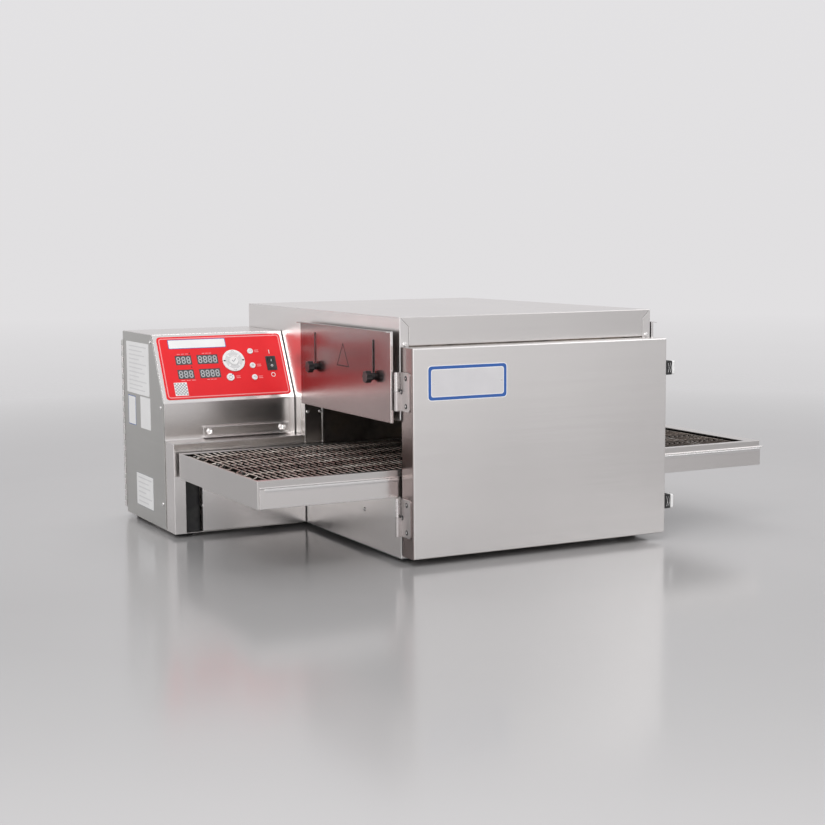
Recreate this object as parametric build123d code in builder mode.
"""Countertop conveyor pizza oven. Millimetres, +X along the belt, +Y from the door to the back, +Z up.

The origin is the centre of the baking chamber's footprint, on the worktop.
"""

import math
import os

from build123d import *

os.makedirs("parts", exist_ok=True)

# baking chamber
CH_W = 550.0
CH_D = 736.0
CH_TOP = 450.0
FOOT_H = 8.0
SHEET = 1.5
BEND_R = 2.0
FOLD_R = 1.2
WALL = 40.0
FLANGE = 18.0
HEADER_Z = 398.0
SEAM = 0.8
LEFT = -CH_W / 2
RIGHT = CH_W / 2
FRONT = -CH_D / 2
BACK = CH_D / 2
BASE_TOP = FOOT_H + SHEET
CAVITY_BACK = 192.0
CAVITY_FLOOR = 48.0
CAVITY_TOP = 392.0
PLENUM_Y = 80.0

# tunnel mouths, open towards the door
MOUTH_Z0 = 122.0
MOUTH_Z1 = 262.0
MOUTH_BACK = 62.0
MOUTH_LIP = 22.0

# door
DOOR_X0 = -274.0
DOOR_X1 = 281.0
DOOR_Z0 = 14.0
DOOR_Z1 = 396.0
DOOR_FRONT = -415.0
DOOR_BACK = -372.0
EDGE_R = 2.5
HINGE_X = -283.0
HINGE_Y = -369.0
HINGE_R = 4.0
HINGE_PIN_R = 2.0
HINGE_H = 70.0
HINGE_UPPER_Z = 281.0
HINGE_LOWER_Z = 51.0

# latches
LATCH_Y = -396.0
LATCH_UPPER_Z = 337.5
LATCH_LOWER_Z = 74.5
LATCH_H = 27.0
PADDLE_D = 24.0
PADDLE_T = 8.0
CLAW_R = 39.0
CLAW_IN_R = 34.5
CLAW_T = 2.4
STRIKER_Y = -364.0
STRIKER_R = 2.0

# sliding baffles over the mouths
BAFFLE_OFF = 12.6
BAFFLE_LIP = 10.0
BAFFLE_RETURN = 3.2
BAFFLE_Y0 = -359.0
BAFFLE_Y1 = 49.0
BAFFLE_Z0 = 258.0
BAFFLE_Z1 = 424.0
STUD_R = 3.0
STUD_Z = 338.0
STUD_FRONT_Y = -288.5
STUD_REAR_Y = -24.5
SLOT_TOP = 404.5
KNOB_R = 11.5

# conveyor
CV_X0 = -552.0
CV_X1 = 558.0
CV_Y0 = -362.0
CV_Y1 = 52.0
CV_Z0 = 122.0
CV_Z1 = 172.0
RAIL = 2.0
TRAY_X = 282.0
END_COVER_X = 527.0
APRON_X0 = -548.0
APRON_X1 = 563.5
DRIVE_X = -526.0
IDLER_X = 502.0
SHAFTS = (DRIVE_X, IDLER_X)
SHAFT_Z = 149.5
SHAFT_R = 6.0
BELT_IN_R = 20.0
BELT_T = 2.3
BELT_Y0 = -346.0
BELT_Y1 = 36.0
SPROCKET_R = 19.6
SPROCKET_TEETH = 12

# control housing
CB_X0 = -559.0
CB_X1 = -277.0
STEP_Y = 64.0
COLUMN_W = 24.0
STEP_SLOT_X = -500.0
FACE_Y = 115.0
TOP_Y = 184.0
CB_BACK = 378.0
LEDGE_Z = 190.0
SLOPE_Z = 265.0
CB_TOP = 399.0
PANEL_PIN_X = -561.0
PANEL_PIN_Y = 380.0
PANEL_PIN_R = 2.5
KNUCKLE = 12.0
KNUCKLE_GAP = 1.4
INLET_L = 37.0
INLET_BORE_R = 6.0

# sloped control face: x from the housing's left edge, y up the slope
SLOPE_LEN = math.hypot(TOP_Y - FACE_Y, CB_TOP - SLOPE_Z)
SLOPE_N = (0, -(CB_TOP - SLOPE_Z) / SLOPE_LEN, (TOP_Y - FACE_Y) / SLOPE_LEN)
SLOPE = Plane(origin=(CB_X0, FACE_Y, SLOPE_Z), x_dir=(1, 0, 0), z_dir=SLOPE_N)
OVERLAY_T = 1.0
OVERLAY_BOX = (142.25, 75.75, 269.5, 137.5)
DISPLAYS = [
    (57.0, 92.0, 34.0, 20.0),
    (108.5, 92.0, 44.5, 20.0),
    (57.0, 61.0, 34.0, 20.0),
    (108.5, 61.0, 44.5, 20.0),
]
PAD = (164.3, 86.5)
PAD_R = 24.0
PAD_IN_R = 11.6
KEYS = [(204.0, 106.0, 6.0), (203.5, 74.0, 6.0), (203.0, 47.5, 6.0), (150.5, 50.0, 8.0)]
ROCKER = (245.6, 77.0)


def block(x0, x1, y0, y1, z0, z1, mode=Mode.ADD):
    """A box between two corners, in the part being built."""
    with Locations(((x0 + x1) / 2, (y0 + y1) / 2, (z0 + z1) / 2)):
        Box(abs(x1 - x0), abs(y1 - y0), abs(z1 - z0), mode=mode)


def rod(p, axis, r, length, mode=Mode.ADD):
    """A cylinder that starts at p and runs along a unit direction."""
    with Locations(Plane(origin=p, z_dir=axis)):
        Cylinder(r, length, align=(Align.CENTER, Align.CENTER, Align.MIN), mode=mode)


def save(part, name):
    """Label a finished piece and write it out."""
    part.label = name
    export_step(part, f"parts/{name}.step")


# ---------------------------------------------------------------- chamber shell
def side_wall(wall, side):
    """Outer skin of one chamber side, with its front return and its tunnel mouth; side is -1 or 1."""
    outer, inner = side * RIGHT, side * (RIGHT - SHEET)
    block(outer, inner, FRONT, BACK, BASE_TOP, CH_TOP - SHEET)
    with BuildSketch(Plane.XZ.offset(-FRONT)) as face:
        with BuildLine():
            Polyline(
                (outer, BASE_TOP),
                (side * (RIGHT - FLANGE), BASE_TOP),
                (side * (RIGHT - FLANGE), CH_TOP - FLANGE),
                (outer, CH_TOP),
                close=True,
            )
        make_face()
    extrude(face.sketch, amount=-SHEET)
    x_out, x_in = side * (RIGHT + 1), side * (RIGHT - 30)
    block(x_out, x_in, FRONT - 1, BACK, CH_TOP - SHEET, CH_TOP + 1, mode=Mode.SUBTRACT)
    y_in = MOUTH_BACK + SHEET
    block(x_out, x_in, FRONT - 1, y_in, MOUTH_Z0 - SHEET, MOUTH_Z1 + SHEET, mode=Mode.SUBTRACT)
    front_edges = wall.edges().filter_by(Axis.Z).group_by(Axis.Y)[0]
    fillet(front_edges.group_by(Axis.X)[0 if side < 0 else -1], FOLD_R)


with BuildPart() as side_wall_left:
    side_wall(side_wall_left, -1)
save(side_wall_left.part, "side_wall_left")

with BuildPart() as side_wall_right:
    side_wall(side_wall_right, 1)
save(side_wall_right.part, "side_wall_right")

with BuildPart() as back_panel:
    block(LEFT + SHEET, RIGHT - SHEET, BACK - SHEET, BACK, BASE_TOP, CH_TOP - SHEET)
    with Locations(Plane(origin=(0, BACK, 110), x_dir=(1, 0, 0), z_dir=(0, 1, 0))):
        with GridLocations(120, 14, 3, 6):
            Box(90, 5, 10, mode=Mode.SUBTRACT)
save(back_panel.part, "back_panel")

with BuildPart() as base_pan:
    block(LEFT, RIGHT, FRONT, BACK, FOOT_H, BASE_TOP)
    for x in (-150, 150):
        block(x - 20, x + 20, FRONT + 10, CAVITY_BACK, BASE_TOP, CAVITY_FLOOR)
save(base_pan.part, "base_pan")

with BuildPart() as top_cover:
    block(LEFT, RIGHT, FRONT, BACK, CH_TOP - SHEET, CH_TOP)
    with BuildSketch(Plane.XZ.offset(-FRONT)):
        with BuildLine():
            Polyline(
                (LEFT + SEAM, CH_TOP),
                (RIGHT - SEAM, CH_TOP),
                (RIGHT - FLANGE - SEAM, CH_TOP - FLANGE),
                (RIGHT - FLANGE - SEAM, HEADER_Z),
                (LEFT + FLANGE + SEAM, HEADER_Z),
                (LEFT + FLANGE + SEAM, CH_TOP - FLANGE),
                close=True,
            )
        make_face()
    extrude(amount=-SHEET)
    for side in (-1, 1):
        x_out, x_in = side * RIGHT, side * (RIGHT - SHEET)
        block(x_out, x_in, FRONT, FRONT + SHEET, 0, CH_TOP - SHEET, mode=Mode.SUBTRACT)
    fillet(top_cover.faces().sort_by(Axis.Z)[-1].edges(), FOLD_R)
save(top_cover.part, "top_cover")

FRAME_Y = FRONT + SHEET
with BuildPart() as cavity_liner:
    for side in (-1, 1):
        x_in, x_out = side * (RIGHT - WALL), side * (RIGHT - WALL + SHEET)
        block(x_in, x_out, FRAME_Y, CAVITY_BACK, CAVITY_FLOOR, CAVITY_TOP)
    block(LEFT + WALL, RIGHT - WALL, FRAME_Y, CAVITY_BACK, CAVITY_TOP - SHEET, CAVITY_TOP)
    block(LEFT + WALL, RIGHT - WALL, FRAME_Y, CAVITY_BACK, CAVITY_FLOOR, CAVITY_FLOOR + SHEET)
    block(LEFT + WALL, RIGHT - WALL, CAVITY_BACK - SHEET, CAVITY_BACK, CAVITY_FLOOR, CAVITY_TOP)
    block(LEFT + SHEET, RIGHT - SHEET, FRAME_Y, FRAME_Y + SHEET, BASE_TOP, CH_TOP - SHEET)
    x_in, z0, z1 = RIGHT - WALL, CAVITY_FLOOR + SHEET, CAVITY_TOP - SHEET
    block(-x_in, x_in, FRAME_Y - 1, FRAME_Y + SHEET + 1, z0, z1, mode=Mode.SUBTRACT)
    block(LEFT, RIGHT, FRONT, MOUTH_BACK + SHEET, MOUTH_Z0 - SHEET, MOUTH_Z1 + SHEET, mode=Mode.SUBTRACT)
    rod((0, CAVITY_BACK - 5, 220), (0, 1, 0), 12, 10, mode=Mode.SUBTRACT)
    for x in (-30, 30):
        rod((x, CAVITY_BACK - 5, 75), (0, 1, 0), 5, 10, mode=Mode.SUBTRACT)
save(cavity_liner.part, "cavity_liner")

with BuildPart() as insulation_wrap:
    block(LEFT + SHEET, RIGHT - SHEET, FRAME_Y + SHEET, CAVITY_BACK, BASE_TOP, CH_TOP - SHEET)
    x_in = RIGHT - WALL + SHEET
    block(-x_in, x_in, FRONT, BACK, 0, CAVITY_TOP, mode=Mode.SUBTRACT)
    block(LEFT, RIGHT, FRONT, MOUTH_BACK + SHEET, MOUTH_Z0 - SHEET, MOUTH_Z1 + SHEET, mode=Mode.SUBTRACT)
save(insulation_wrap.part, "insulation_wrap")


def mouth_frame(side):
    """Sheet that lines one tunnel mouth through the wall, with a lip on the outside; side is -1 or 1."""
    x_out, x_in, x_lip = side * RIGHT, side * (RIGHT - WALL), side * (RIGHT + SHEET)
    back = MOUTH_BACK + SHEET
    block(x_out, x_in, FRAME_Y + SHEET, back, MOUTH_Z1, MOUTH_Z1 + SHEET)
    block(x_out, x_in, FRAME_Y + SHEET, back, MOUTH_Z0 - SHEET, MOUTH_Z0)
    block(x_lip, x_in, MOUTH_BACK, back, MOUTH_Z0 - SHEET, MOUTH_Z1 + SHEET)
    block(x_lip, x_out, MOUTH_BACK, MOUTH_BACK + MOUTH_LIP, MOUTH_Z0 - SHEET, MOUTH_Z1 + SHEET)


with BuildPart() as mouth_frame_left:
    mouth_frame(-1)
save(mouth_frame_left.part, "mouth_frame_left")

with BuildPart() as mouth_frame_right:
    mouth_frame(1)
save(mouth_frame_right.part, "mouth_frame_right")


# ---------------------------------------------------------------- hot air system
def jet_duct(z0, z1, z_face):
    """A flat air box that is open to the plenum and has rows of nozzles in the face at z_face."""
    block(-205, 205, -350, PLENUM_Y, z0, z1)
    block(-203, 203, -348, PLENUM_Y + 1, z0 + 2, z1 - 2, mode=Mode.SUBTRACT)
    with Locations((0, -150, z_face)):
        with GridLocations(56, 62, 7, 6):
            Cylinder(8, 8, mode=Mode.SUBTRACT)


with BuildPart() as jet_duct_upper:
    jet_duct(250, 330, 250)
save(jet_duct_upper.part, "jet_duct_upper")

with BuildPart() as jet_duct_lower:
    jet_duct(58, 106, 106)
save(jet_duct_lower.part, "jet_duct_lower")

with BuildPart() as plenum_wall:
    x_in = RIGHT - WALL
    block(-x_in, x_in, PLENUM_Y, PLENUM_Y + SHEET, CAVITY_FLOOR + SHEET, CAVITY_TOP - SHEET)
    block(-203, 203, PLENUM_Y - 1, PLENUM_Y + 4, 252, 328, mode=Mode.SUBTRACT)
    block(-203, 203, PLENUM_Y - 1, PLENUM_Y + 4, 60, 104, mode=Mode.SUBTRACT)
    with Locations(Plane(origin=(0, PLENUM_Y, 137), x_dir=(1, 0, 0), z_dir=(0, 1, 0))):
        with GridLocations(60, 16, 6, 4):
            Box(44, 7, 10, mode=Mode.SUBTRACT)
save(plenum_wall.part, "plenum_wall")

with BuildPart() as heating_element:
    with Locations(Plane(origin=(0, 112, 220), z_dir=(0, 1, 0))):
        Torus(148, 4)
    for x in (-30, 30):
        rod((x, 112, 75), (0, 1, 0), 4, 128)
save(heating_element.part, "heating_element")

with BuildPart() as fan_impeller:
    rod((0, 176, 220), (0, 1, 0), 108, 2)
    rod((0, 140, 220), (0, 1, 0), 108, 2)
    rod((0, 139, 220), (0, 1, 0), 82, 4, mode=Mode.SUBTRACT)
    rod((0, 160, 220), (0, 1, 0), 14, 18)
    rod((0, 150, 220), (0, 1, 0), 6, 130)
    with Locations(Plane(origin=(0, 159, 220), z_dir=(0, 1, 0))):
        with PolarLocations(95, 24):
            Box(24, 2, 36)
save(fan_impeller.part, "fan_impeller")

with BuildPart() as fan_motor:
    rod((0, 244, 220), (0, 1, 0), 46, 80)
    with Locations(Plane(origin=(0, 320, 220), z_dir=(0, 1, 0))):
        with GridLocations(60, 60, 2, 2):
            Cylinder(5, BACK - SHEET - 320, align=(Align.CENTER, Align.CENTER, Align.MIN))
    rod((0, 243, 220), (0, 1, 0), SHAFT_R + 0.05, 38, mode=Mode.SUBTRACT)
save(fan_motor.part, "fan_motor")

# ---------------------------------------------------------------- door
with BuildPart() as door_skin:
    block(DOOR_X0, DOOR_X1, DOOR_FRONT, DOOR_BACK, DOOR_Z0, DOOR_Z1)
    fillet(door_skin.faces().sort_by(Axis.Y)[0].edges(), EDGE_R)
    x0, x1, z0, z1 = DOOR_X0 + SHEET, DOOR_X1 - SHEET, DOOR_Z0 + SHEET, DOOR_Z1 - SHEET
    block(x0, x1, DOOR_FRONT + SHEET, DOOR_BACK + 1, z0, z1, mode=Mode.SUBTRACT)
    for z in (LATCH_UPPER_Z, LATCH_LOWER_Z):
        rod((DOOR_X1 - 5, LATCH_Y, z), (1, 0, 0), 4.4, 10, mode=Mode.SUBTRACT)
save(door_skin.part, "door_skin")

with BuildPart() as door_liner:
    block(DOOR_X0 + SHEET, DOOR_X1 - SHEET, DOOR_BACK - SHEET, DOOR_BACK, DOOR_Z0 + SHEET, DOOR_Z1 - SHEET)
save(door_liner.part, "door_liner")

with BuildPart() as door_insulation:
    block(DOOR_X0 + SHEET, 262, DOOR_FRONT + SHEET, DOOR_BACK - SHEET, DOOR_Z0 + SHEET, DOOR_Z1 - SHEET)
save(door_insulation.part, "door_insulation")

with BuildPart() as door_gasket:
    block(-252, 252, DOOR_BACK, DOOR_BACK + 4.5, 30, 394)
    block(-242, 242, DOOR_BACK - 1, DOOR_BACK + 6, 40, 384, mode=Mode.SUBTRACT)
save(door_gasket.part, "door_gasket")

HINGES = [HINGE_UPPER_Z, HINGE_LOWER_Z]
with BuildPart() as hinge_body_leaves:
    for z in HINGES:
        block(HINGE_X + 4.5, LEFT + 14, HINGE_Y - 1, HINGE_Y + 1, z, z + HINGE_H)
        middle = z + HINGE_H / 2
        block(HINGE_X, HINGE_X + 5, HINGE_Y - 1, HINGE_Y + 1, middle + 0.3, z + HINGE_H)
        rod((HINGE_X, HINGE_Y, middle + 0.3), (0, 0, 1), HINGE_R, HINGE_H / 2 - 0.3)
        rod((HINGE_X, HINGE_Y, z + 4), (0, 0, 1), HINGE_PIN_R, HINGE_H / 2)
save(hinge_body_leaves.part, "hinge_body_leaves")

with BuildPart() as hinge_door_leaves:
    for z in HINGES:
        with BuildSketch(Plane.YZ.offset(DOOR_X0)):
            with Locations(((-406 - 373) / 2, z + HINGE_H / 2)):
                RectangleRounded(33, HINGE_H, 5)
        extrude(amount=-2)
        block(DOOR_X0 - 2, DOOR_X0, -378, -372.5, z, z + HINGE_H)
        middle = z + HINGE_H / 2
        block(HINGE_X, DOOR_X0 - 1, -374.5, -372.5, z, middle - 0.3)
        rod((HINGE_X, HINGE_Y, z), (0, 0, 1), HINGE_R, HINGE_H / 2 - 0.3)
        rod((HINGE_X, HINGE_Y, z + 3), (0, 0, 1), HINGE_PIN_R + 0.05, HINGE_H / 2, mode=Mode.SUBTRACT)
save(hinge_door_leaves.part, "hinge_door_leaves")

LATCHES = [LATCH_UPPER_Z, LATCH_LOWER_Z]
with BuildPart() as latch_bodies:
    for z in LATCHES:
        block(DOOR_X1 + 3.1, DOOR_X1 + 15, LATCH_Y - 16, LATCH_Y + 8, z - LATCH_H / 2, z + LATCH_H / 2)
        block(DOOR_X1, DOOR_X1 + 4, LATCH_Y - 16, LATCH_Y - 9.5, z - LATCH_H / 2, z + LATCH_H / 2)
        rod((DOOR_X1, LATCH_Y, z), (1, 0, 0), 4.05, 20, mode=Mode.SUBTRACT)
save(latch_bodies.part, "latch_bodies")


def claw_arc(r, start, end, step):
    """Points on a claw edge about the latch spindle, between two angles in degrees."""
    angles = [math.radians(degrees) for degrees in range(start, end, step)]
    return [(r * math.cos(a), r * math.sin(a)) for a in angles]


def latch_handle(z):
    """Turn paddle, its spindle and the claw that hooks behind the striker."""
    rod((DOOR_X1 - 4, LATCH_Y, z), (1, 0, 0), 4, 21)
    rod((DOOR_X1 + 0.4, LATCH_Y, z), (1, 0, 0), 8, CLAW_T)
    seat = Plane(origin=(DOOR_X1 + 15.5, LATCH_Y - 4, z), x_dir=(0, 1, 0), z_dir=(1, 0, 0))
    with BuildSketch(seat) as face:
        RectangleRounded(PADDLE_D, LATCH_H, 3)
    extrude(face.sketch, amount=PADDLE_T - 2)
    extrude(face.sketch, amount=PADDLE_T, taper=15)
    root = Plane(origin=(DOOR_X1 + 0.4, LATCH_Y, z), x_dir=(0, 1, 0), z_dir=(1, 0, 0))
    with BuildSketch(root) as face:
        with BuildLine():
            outer = claw_arc(CLAW_R, -102, -39, 6)
            inner = claw_arc(CLAW_IN_R, -42, -91, -6)
            Polyline((-4, -1), *outer, *inner, (4, -6), (4, -1), close=True)
        make_face()
    extrude(face.sketch, amount=CLAW_T)


with BuildPart() as latch_handle_upper:
    latch_handle(LATCH_UPPER_Z)
save(latch_handle_upper.part, "latch_handle_upper")

with BuildPart() as latch_handle_lower:
    latch_handle(LATCH_LOWER_Z)
save(latch_handle_lower.part, "latch_handle_lower")

with BuildPart() as latch_strikers:
    for z in LATCHES:
        rod((RIGHT, STRIKER_Y, z), (1, 0, 0), STRIKER_R, 11)
save(latch_strikers.part, "latch_strikers")


# ---------------------------------------------------------------- sliding baffles
def baffle(side):
    """Plate that closes the top of one tunnel mouth and slides on two studs; side is -1 or 1."""
    x0 = side * (RIGHT + BAFFLE_OFF)
    x1 = x0 + side * SHEET
    block(x0, x1, BAFFLE_Y0, BAFFLE_Y1, BAFFLE_Z0, BAFFLE_Z1)
    block(x0, x0 + side * BAFFLE_LIP, BAFFLE_Y0, BAFFLE_Y1, BAFFLE_Z1 - SHEET, BAFFLE_Z1)
    block(x0 - side * BAFFLE_RETURN, x1, BAFFLE_Y0, BAFFLE_Y0 + SHEET, BAFFLE_Z0, BAFFLE_Z1)
    bottom = STUD_Z - STUD_R - 0.5
    for y in (STUD_FRONT_Y, STUD_REAR_Y):
        with BuildSketch(Plane.YZ.offset(x0 - side)) as face:
            with Locations((y, (bottom + SLOT_TOP) / 2)):
                SlotOverall(SLOT_TOP - bottom, 2 * STUD_R + 0.8, rotation=90)
        extrude(face.sketch, amount=side * 4, mode=Mode.SUBTRACT)


with BuildPart() as baffle_left:
    baffle(-1)
save(baffle_left.part, "baffle_left")

with BuildPart() as baffle_right:
    baffle(1)
save(baffle_right.part, "baffle_right")

STUDS = [(side, y) for side in (-1, 1) for y in (STUD_FRONT_Y, STUD_REAR_Y)]
with BuildPart() as baffle_studs:
    for side, y in STUDS:
        rod((side * RIGHT, y, STUD_Z), (side, 0, 0), 8, BAFFLE_OFF - 0.3)
        rod((side * RIGHT, y, STUD_Z), (side, 0, 0), STUD_R, BAFFLE_OFF + 16)
save(baffle_studs.part, "baffle_studs")


def star_knob(side, y):
    """Seven-lobed clamping knob on one baffle stud; side is -1 or 1."""
    x0 = side * (RIGHT + BAFFLE_OFF + SHEET + 0.3)
    rod((x0, y, STUD_Z), (side, 0, 0), 6.5, 8)
    with BuildSketch(Plane(origin=(x0 + side * 7, y, STUD_Z), x_dir=(0, 1, 0), z_dir=(side, 0, 0))) as face:
        Circle(KNOB_R - 2)
        with PolarLocations(KNOB_R - 3, 7):
            Circle(3)
    extrude(face.sketch, amount=11)
    rod((x0 - side, y, STUD_Z), (side, 0, 0), STUD_R + 0.05, 16, mode=Mode.SUBTRACT)


with BuildPart() as knob_left_front:
    star_knob(-1, STUD_FRONT_Y)
save(knob_left_front.part, "knob_left_front")

with BuildPart() as knob_left_rear:
    star_knob(-1, STUD_REAR_Y)
save(knob_left_rear.part, "knob_left_rear")

with BuildPart() as knob_right_front:
    star_knob(1, STUD_FRONT_Y)
save(knob_right_front.part, "knob_right_front")

with BuildPart() as knob_right_rear:
    star_knob(1, STUD_REAR_Y)
save(knob_right_rear.part, "knob_right_rear")

# ---------------------------------------------------------------- conveyor
BEARING_R = 9.0
with BuildPart() as conveyor_frame:
    block(CV_X0, CV_X1, CV_Y0, CV_Y0 + RAIL, CV_Z0, CV_Z1)
    block(CV_X0, CV_X1, CV_Y1 - RAIL, CV_Y1, CV_Z0, CV_Z1)
    for z in (CV_Z0, CV_Z1 - RAIL):
        block(CV_X0, CV_X1, CV_Y0, CV_Y0 + 12, z, z + RAIL)
        block(CV_X0, CV_X1, CV_Y1 - 12, CV_Y1, z, z + RAIL)
    for x in (CV_X0, CV_X1 - RAIL):
        block(x, x + RAIL, CV_Y0, CV_Y1, CV_Z0, CV_Z1)
    block(CV_X0, -TRAY_X, CV_Y0, CV_Y1, CV_Z0, CV_Z0 + RAIL)
    block(TRAY_X, CV_X1, CV_Y0, CV_Y1, CV_Z0, CV_Z0 + RAIL)
    block(END_COVER_X, CV_X1, CV_Y0, CV_Y1, CV_Z1 - RAIL, CV_Z1)
    for x in (-420, -140, 140, 420):
        block(x - 8, x + 8, CV_Y0 + 1, CV_Y1 - 1, 142, 158)
    for y in (-270, -155, -40):
        block(-440, 440, y - 4, y + 4, 157, SHAFT_Z + BELT_IN_R - 0.2)
    for x in SHAFTS:
        rod((x, CV_Y0 - 1, SHAFT_Z), (0, 1, 0), BEARING_R, 420, mode=Mode.SUBTRACT)
    corners = conveyor_frame.edges().filter_by(Axis.Z)
    for end in (0, -1):
        fillet(corners.group_by(Axis.X)[end], 1.5)
save(conveyor_frame.part, "conveyor_frame")

with BuildPart() as belt_bearings:
    for x in SHAFTS:
        for y in (CV_Y0, CV_Y1 - 7):
            rod((x, y, SHAFT_Z), (0, 1, 0), BEARING_R, 7)
            rod((x, y - 1, SHAFT_Z), (0, 1, 0), SHAFT_R + 0.05, 9, mode=Mode.SUBTRACT)
save(belt_bearings.part, "belt_bearings")

with BuildPart() as apron:
    block(APRON_X0, CV_X1, CV_Y0 - SHEET, CV_Y0, CV_Z0, 159)
    rod((APRON_X0, CV_Y0 - 1.6, 159.5), (1, 0, 0), 1.6, APRON_X1 - APRON_X0)
save(apron.part, "apron")


def belt_shaft(x, length):
    """One belt shaft with its four sprockets."""
    rod((x, CV_Y0 + 1, SHAFT_Z), (0, 1, 0), SHAFT_R, length)
    for y in (-330, -215, -95, 20):
        rod((x, y - 6, SHAFT_Z), (0, 1, 0), 11, 12)
        with BuildSketch(Plane(origin=(x, y - 3, SHAFT_Z), x_dir=(1, 0, 0), z_dir=(0, 1, 0))) as face:
            Circle(SPROCKET_R)
            with PolarLocations(SPROCKET_R, SPROCKET_TEETH):
                Circle(3, mode=Mode.SUBTRACT)
        extrude(face.sketch, amount=6)


with BuildPart() as drive_shaft:
    belt_shaft(DRIVE_X, 466)
save(drive_shaft.part, "drive_shaft")

with BuildPart() as idler_shaft:
    belt_shaft(IDLER_X, CV_Y1 - CV_Y0 - 2)
save(idler_shaft.part, "idler_shaft")

with BuildPart() as belt:
    with BuildSketch(Plane.XZ.offset(-BELT_Y0)):
        with Locations(((DRIVE_X + IDLER_X) / 2, SHAFT_Z)):
            SlotCenterToCenter(IDLER_X - DRIVE_X, 2 * (BELT_IN_R + BELT_T))
            SlotCenterToCenter(IDLER_X - DRIVE_X, 2 * BELT_IN_R, mode=Mode.SUBTRACT)
    extrude(amount=-(BELT_Y1 - BELT_Y0))
save(belt.part, "belt")

with BuildPart() as gear_motor:
    block(DRIVE_X - 26, DRIVE_X + 26, 72, 112, 118, 178)
    rod((DRIVE_X, 112, SHAFT_Z), (0, 1, 0), 26, 92)
    block(DRIVE_X - 26, DRIVE_X + 26, 84, 90, BASE_TOP, 118)
    rod((DRIVE_X, 71, SHAFT_Z), (0, 1, 0), SHAFT_R + 0.05, 36, mode=Mode.SUBTRACT)
save(gear_motor.part, "gear_motor")

# ---------------------------------------------------------------- control housing
with BuildPart() as control_body:
    block(CB_X0, CB_X1, 66, CB_BACK, FOOT_H, BASE_TOP)
    block(CB_X0, CB_X1, CB_BACK - SHEET, CB_BACK, BASE_TOP, CB_TOP - SHEET)
    with BuildSketch(Plane.YZ.offset(CB_X1)):
        with BuildLine():
            Polyline(
                (FACE_Y + 4, FOOT_H),
                (CB_BACK, FOOT_H),
                (CB_BACK, CB_TOP - SHEET),
                (TOP_Y + 3, CB_TOP - SHEET),
                (FACE_Y + 4, SLOPE_Z - 2),
                close=True,
            )
        make_face()
    extrude(amount=-SHEET)
    for y in (200, 330):
        for z in (70, 340):
            rod((CB_X1 - 1, y, z), (1, 0, 0), 10, LEFT - CB_X1 + 1)
    rod((-420, CB_BACK - 5, 70), (0, 1, 0), 11, 10, mode=Mode.SUBTRACT)
    with Locations(Plane(origin=(-420, CB_BACK, 300), x_dir=(1, 0, 0), z_dir=(0, 1, 0))):
        with GridLocations(80, 12, 2, 6):
            Box(60, 5, 10, mode=Mode.SUBTRACT)
save(control_body.part, "control_body")

with BuildPart() as control_fascia:
    with BuildSketch(Plane.YZ.offset(CB_X0)):
        with BuildLine():
            bend = FilletPolyline(
                (CB_BACK, CB_TOP),
                (TOP_Y, CB_TOP),
                (FACE_Y, SLOPE_Z),
                (FACE_Y, LEDGE_Z),
                (STEP_Y, LEDGE_Z),
                radius=BEND_R,
            )
            offset(bend, amount=SHEET, side=Side.LEFT)
        make_face()
    extrude(amount=CB_X1 - CB_X0)
    with BuildSketch(SLOPE.offset(-5)):
        for x, y, w, h in DISPLAYS:
            with Locations((x, y)):
                Rectangle(w + 0.6, h + 0.6)
        with Locations(PAD):
            Circle(PAD_R + 0.4)
        for x, y, r in KEYS:
            with Locations((x, y)):
                Circle(r + 0.4)
        with Locations(ROCKER):
            Rectangle(18.4, 28.4)
    extrude(amount=10, mode=Mode.SUBTRACT)
save(control_fascia.part, "control_fascia")

with BuildPart() as overlay_panel:
    with BuildSketch(SLOPE):
        with Locations(OVERLAY_BOX[:2]):
            RectangleRounded(OVERLAY_BOX[2], OVERLAY_BOX[3], 7)
        for x, y, w, h in DISPLAYS:
            with Locations((x, y)):
                Rectangle(w + 0.6, h + 0.6, mode=Mode.SUBTRACT)
        with Locations(PAD):
            Circle(PAD_R + 0.4, mode=Mode.SUBTRACT)
        for x, y, r in KEYS:
            with Locations((x, y)):
                Circle(r + 0.4, mode=Mode.SUBTRACT)
        with Locations(ROCKER):
            Rectangle(18.4, 28.4, mode=Mode.SUBTRACT)
    extrude(amount=OVERLAY_T)
save(overlay_panel.part, "overlay_panel")

with BuildPart() as display_board:
    with BuildSketch(SLOPE.offset(-8)):
        with Locations((110, 76)):
            Rectangle(200, 112)
    extrude(amount=1.6)
    with BuildSketch(SLOPE.offset(-6.5)):
        for x, y, w, h in DISPLAYS:
            with Locations((x, y)):
                Rectangle(w, h)
    extrude(amount=6.5 + OVERLAY_T)
    with BuildSketch(SLOPE.offset(-7)):
        with Locations((15, 125), (205, 125), (15, 27), (205, 27)):
            Circle(3)
    extrude(amount=7 - SHEET)
save(display_board.part, "display_board")

with BuildPart() as rocker_bezel:
    with BuildSketch(SLOPE.offset(OVERLAY_T)):
        with Locations(ROCKER):
            RectangleRounded(21.5, 31.5, 1.5)
    extrude(amount=1.6)
    with BuildSketch(SLOPE.offset(-18)):
        with Locations(ROCKER):
            Rectangle(18, 28)
    extrude(amount=18 + OVERLAY_T + 0.2)
    with BuildSketch(SLOPE.offset(-15)):
        with Locations(ROCKER):
            Rectangle(15, 25.2)
    extrude(amount=25, mode=Mode.SUBTRACT)
save(rocker_bezel.part, "rocker_bezel")

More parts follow.
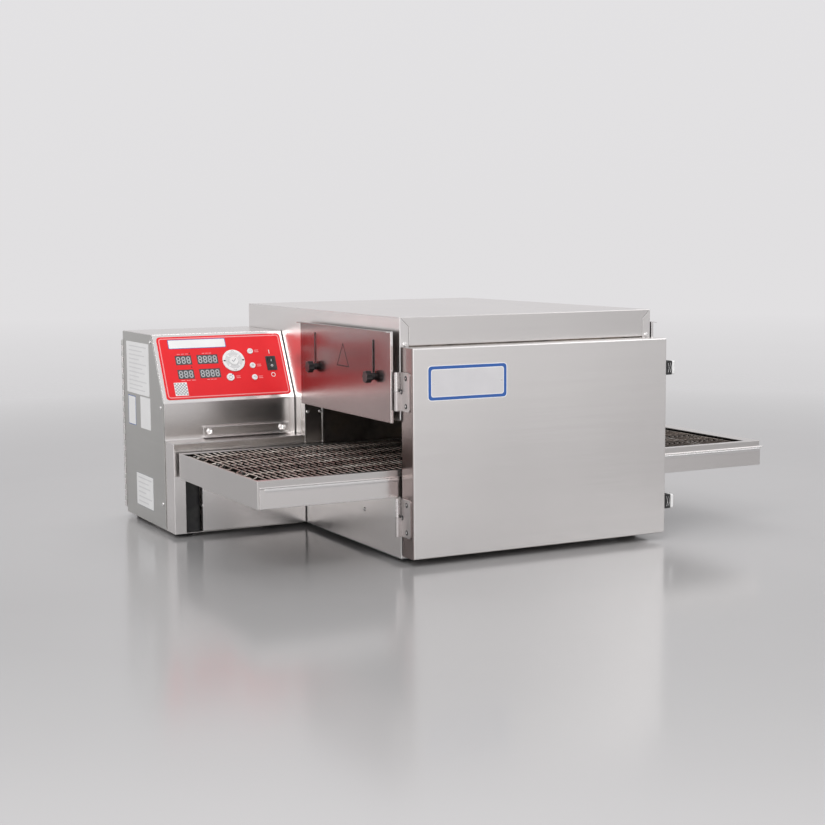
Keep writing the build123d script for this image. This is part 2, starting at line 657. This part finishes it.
ROCKER_PLANE = Plane(
    origin=SLOPE.from_local_coords(Vector(ROCKER[0] - 7.1, ROCKER[1], 0)),
    x_dir=SLOPE.y_dir,
    z_dir=SLOPE.x_dir,
)
with BuildPart() as rocker:
    with BuildSketch(ROCKER_PLANE):
        Circle(12.3)
        with BuildLine():
            Polyline((-14, -4), (14, -4), (14, 6.2), (0, 3.0), (-14, 3.4), close=True)
        make_face(mode=Mode.INTERSECT)
    extrude(amount=14.2)
save(rocker.part, "rocker")

with BuildPart() as pad_ring:
    with BuildSketch(SLOPE.offset(-1.4)):
        with Locations(PAD):
            Circle(PAD_R)
            Circle(PAD_IN_R, mode=Mode.SUBTRACT)
    extrude(amount=4.2)
    fillet(pad_ring.edges().filter_by(GeomType.CIRCLE).group_by(SortBy.RADIUS)[-1], 0.8)
save(pad_ring.part, "pad_ring")

with BuildPart() as pad_centre:
    with BuildSketch(SLOPE.offset(-1.4)):
        with Locations(PAD):
            Circle(PAD_IN_R - 0.5)
    extrude(amount=4.8)
save(pad_centre.part, "pad_centre")


def round_key(x, y, r):
    """One round push key, standing a little above the overlay."""
    with BuildSketch(SLOPE.offset(-1.4)) as face:
        with Locations((x, y)):
            Circle(r)
    extrude(face.sketch, amount=4.0)


with BuildPart() as key_top:
    round_key(*KEYS[0])
save(key_top.part, "key_top")

with BuildPart() as key_middle:
    round_key(*KEYS[1])
save(key_middle.part, "key_middle")

with BuildPart() as key_bottom:
    round_key(*KEYS[2])
save(key_bottom.part, "key_bottom")

with BuildPart() as key_start:
    round_key(*KEYS[3])
save(key_start.part, "key_start")

with BuildPart() as step_column:
    block(CB_X0, CB_X0 + COLUMN_W, STEP_Y, STEP_Y + SHEET, BASE_TOP, LEDGE_Z - SHEET)
    block(CB_X0, STEP_SLOT_X - 0.5, STEP_Y, STEP_Y + SHEET, SHAFT_Z + SHAFT_R + 2, LEDGE_Z - SHEET)
    block(CB_X0, CB_X0 + SHEET, STEP_Y, FACE_Y + 3, BASE_TOP, LEDGE_Z - SHEET)
    block(CB_X0, CB_X0 + COLUMN_W, STEP_Y, 80, FOOT_H, BASE_TOP)
    block(CB_X0, CB_X0 + COLUMN_W, 66, 81, FOOT_H - 1, BASE_TOP, mode=Mode.SUBTRACT)
    fillet(step_column.edges().filter_by(Axis.Z).group_by(Axis.Y)[0].group_by(Axis.X)[0], FOLD_R)
save(step_column.part, "step_column")

with BuildPart() as lower_front_panel:
    block(STEP_SLOT_X, CB_X1, STEP_Y, STEP_Y + SHEET, FOOT_H + 2, LEDGE_Z - SHEET)
    block(STEP_SLOT_X, STEP_SLOT_X + SHEET, STEP_Y, STEP_Y + 7, FOOT_H + 2, LEDGE_Z - SHEET)
save(lower_front_panel.part, "lower_front_panel")

BRACKET_X0, BRACKET_X1 = -477.0, -292.0
BRACKET_Z0, BRACKET_Z1 = 193.0, 214.5
with BuildPart() as ledge_bracket:
    block(BRACKET_X0, BRACKET_X1, FACE_Y - SHEET, FACE_Y, BRACKET_Z0, BRACKET_Z1)
    block(BRACKET_X0, BRACKET_X1, FACE_Y - 12, FACE_Y, BRACKET_Z0, BRACKET_Z0 + SHEET)
    block(BRACKET_X0, BRACKET_X1, FACE_Y - 12, FACE_Y, BRACKET_Z1 - SHEET, BRACKET_Z1)
save(ledge_bracket.part, "ledge_bracket")

NUT_Z = 204.0
with BuildPart() as acorn_nuts:
    for x in (BRACKET_X0 + 14, BRACKET_X1 - 14):
        with BuildSketch(Plane.XZ.offset(SHEET - FACE_Y)):
            with Locations((x, NUT_Z)):
                RegularPolygon(7.5, 6)
        extrude(amount=4)
        with Locations((x, FACE_Y - 6, NUT_Z)):
            Sphere(6)
        block(x - 8, x + 8, FACE_Y - SHEET, FACE_Y + 10, NUT_Z - 8, NUT_Z + 8, mode=Mode.SUBTRACT)
save(acorn_nuts.part, "acorn_nuts")

KNUCKLES = [20 + i * KNUCKLE for i in range(30)]
with BuildPart() as piano_hinge:
    block(-558, -540, CB_BACK, CB_BACK + 1.2, 20, 380)
    for z in KNUCKLES[0::2]:
        block(PANEL_PIN_X, -557, CB_BACK, CB_BACK + 1.2, z, z + KNUCKLE - KNUCKLE_GAP)
        rod((PANEL_PIN_X, PANEL_PIN_Y, z), (0, 0, 1), PANEL_PIN_R, KNUCKLE - KNUCKLE_GAP)
    rod((PANEL_PIN_X, PANEL_PIN_Y, 20), (0, 0, 1), 1.2, 360)
save(piano_hinge.part, "piano_hinge")

with BuildPart() as access_panel:
    with BuildSketch(Plane.YZ.offset(CB_X0 - 0.3)):
        with BuildLine():
            Polyline(
                (FACE_Y + 1, 10),
                (366, 10),
                (376, 20),
                (376, CB_TOP - 1),
                (TOP_Y + 1, CB_TOP - 1),
                (FACE_Y + 1, SLOPE_Z),
                close=True,
            )
        make_face()
    extrude(amount=-SHEET)
    for z in KNUCKLES[1::2]:
        block(CB_X0 - 0.3 - SHEET, CB_X0 - 0.3, 375, PANEL_PIN_Y, z, z + KNUCKLE - KNUCKLE_GAP)
        rod((PANEL_PIN_X, PANEL_PIN_Y, z), (0, 0, 1), PANEL_PIN_R, KNUCKLE - KNUCKLE_GAP)
        rod((PANEL_PIN_X, PANEL_PIN_Y, z - 1), (0, 0, 1), 1.25, KNUCKLE + 2, mode=Mode.SUBTRACT)
save(access_panel.part, "access_panel")

with BuildPart() as power_inlet:
    rod((-420, CB_BACK - 8, 70), (0, 1, 0), 10.9, 8)
    rod((-420, CB_BACK, 70), (0, 1, 0), 15, 5)
    rod((-420, CB_BACK, 70), (0, 1, 0), 11, INLET_L)
    rod((-420, CB_BACK - 8, 70), (0, 1, 0), INLET_BORE_R, INLET_L + 8, mode=Mode.SUBTRACT)
save(power_inlet.part, "power_inlet")

# ---------------------------------------------------------------- fasteners and feet
with BuildPart() as screws:
    for side in (-1, 1):
        for y, z in ((-216, 78), (20, 78), (120, 60), (120, 430), (340, 60)):
            if side > 0 or y < 60:
                rod((side * RIGHT, y, z), (side, 0, 0), 4, 2)
        for x in (RIGHT - 5, RIGHT - 33):
            rod((side * x, MOUTH_BACK, 238), (0, -1, 0), 4, 2)
        rod((side * (RIGHT - 10), FRONT, 401), (0, -1, 0), 4, 2)
    for x in (-240, 0, 240):
        for z in (30, 430):
            rod((x, BACK, z), (0, 1, 0), 4, 2)
save(screws.part, "screws")

with BuildPart() as feet:
    for x, y in ((-245, -335), (245, -335), (-245, 335), (245, 335), (-530, 345), (-530, 100)):
        rod((x, y, 0), (0, 0, 1), 18, FOOT_H)
save(feet.part, "feet")
